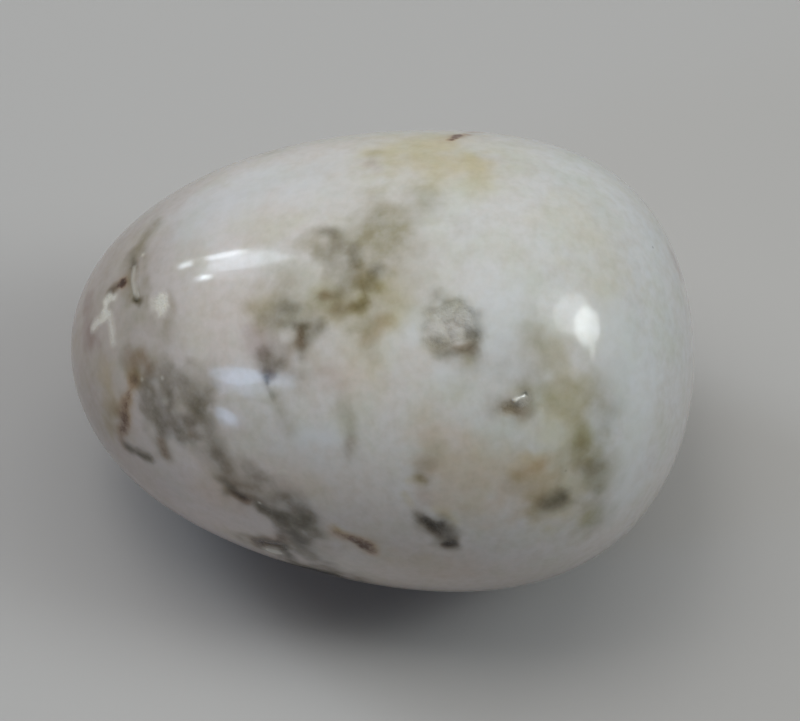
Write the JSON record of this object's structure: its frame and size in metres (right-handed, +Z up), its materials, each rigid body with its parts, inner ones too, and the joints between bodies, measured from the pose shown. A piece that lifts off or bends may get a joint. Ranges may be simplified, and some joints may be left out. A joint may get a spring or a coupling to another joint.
{
  "type": "marble egg",
  "caption": "Polished egg of milky marble with mossy olive, rust and ink-dark inclusions and a few natural hollows, lying on a small flat ground under its belly.",
  "frame": {"origin": "middle of the bounding box's floor, on the surface that the egg rests on", "axes": "+Z up, +X along the egg's length towards its blunt end, -Y towards the side with the most markings"},
  "size_m": [0.0648, 0.0476, 0.0474],
  "materials": {
    "polished_stone": "polished"
  },
  "bodies": {
    "root": {"egg": "polished_stone"}
  },
  "joints": []
}
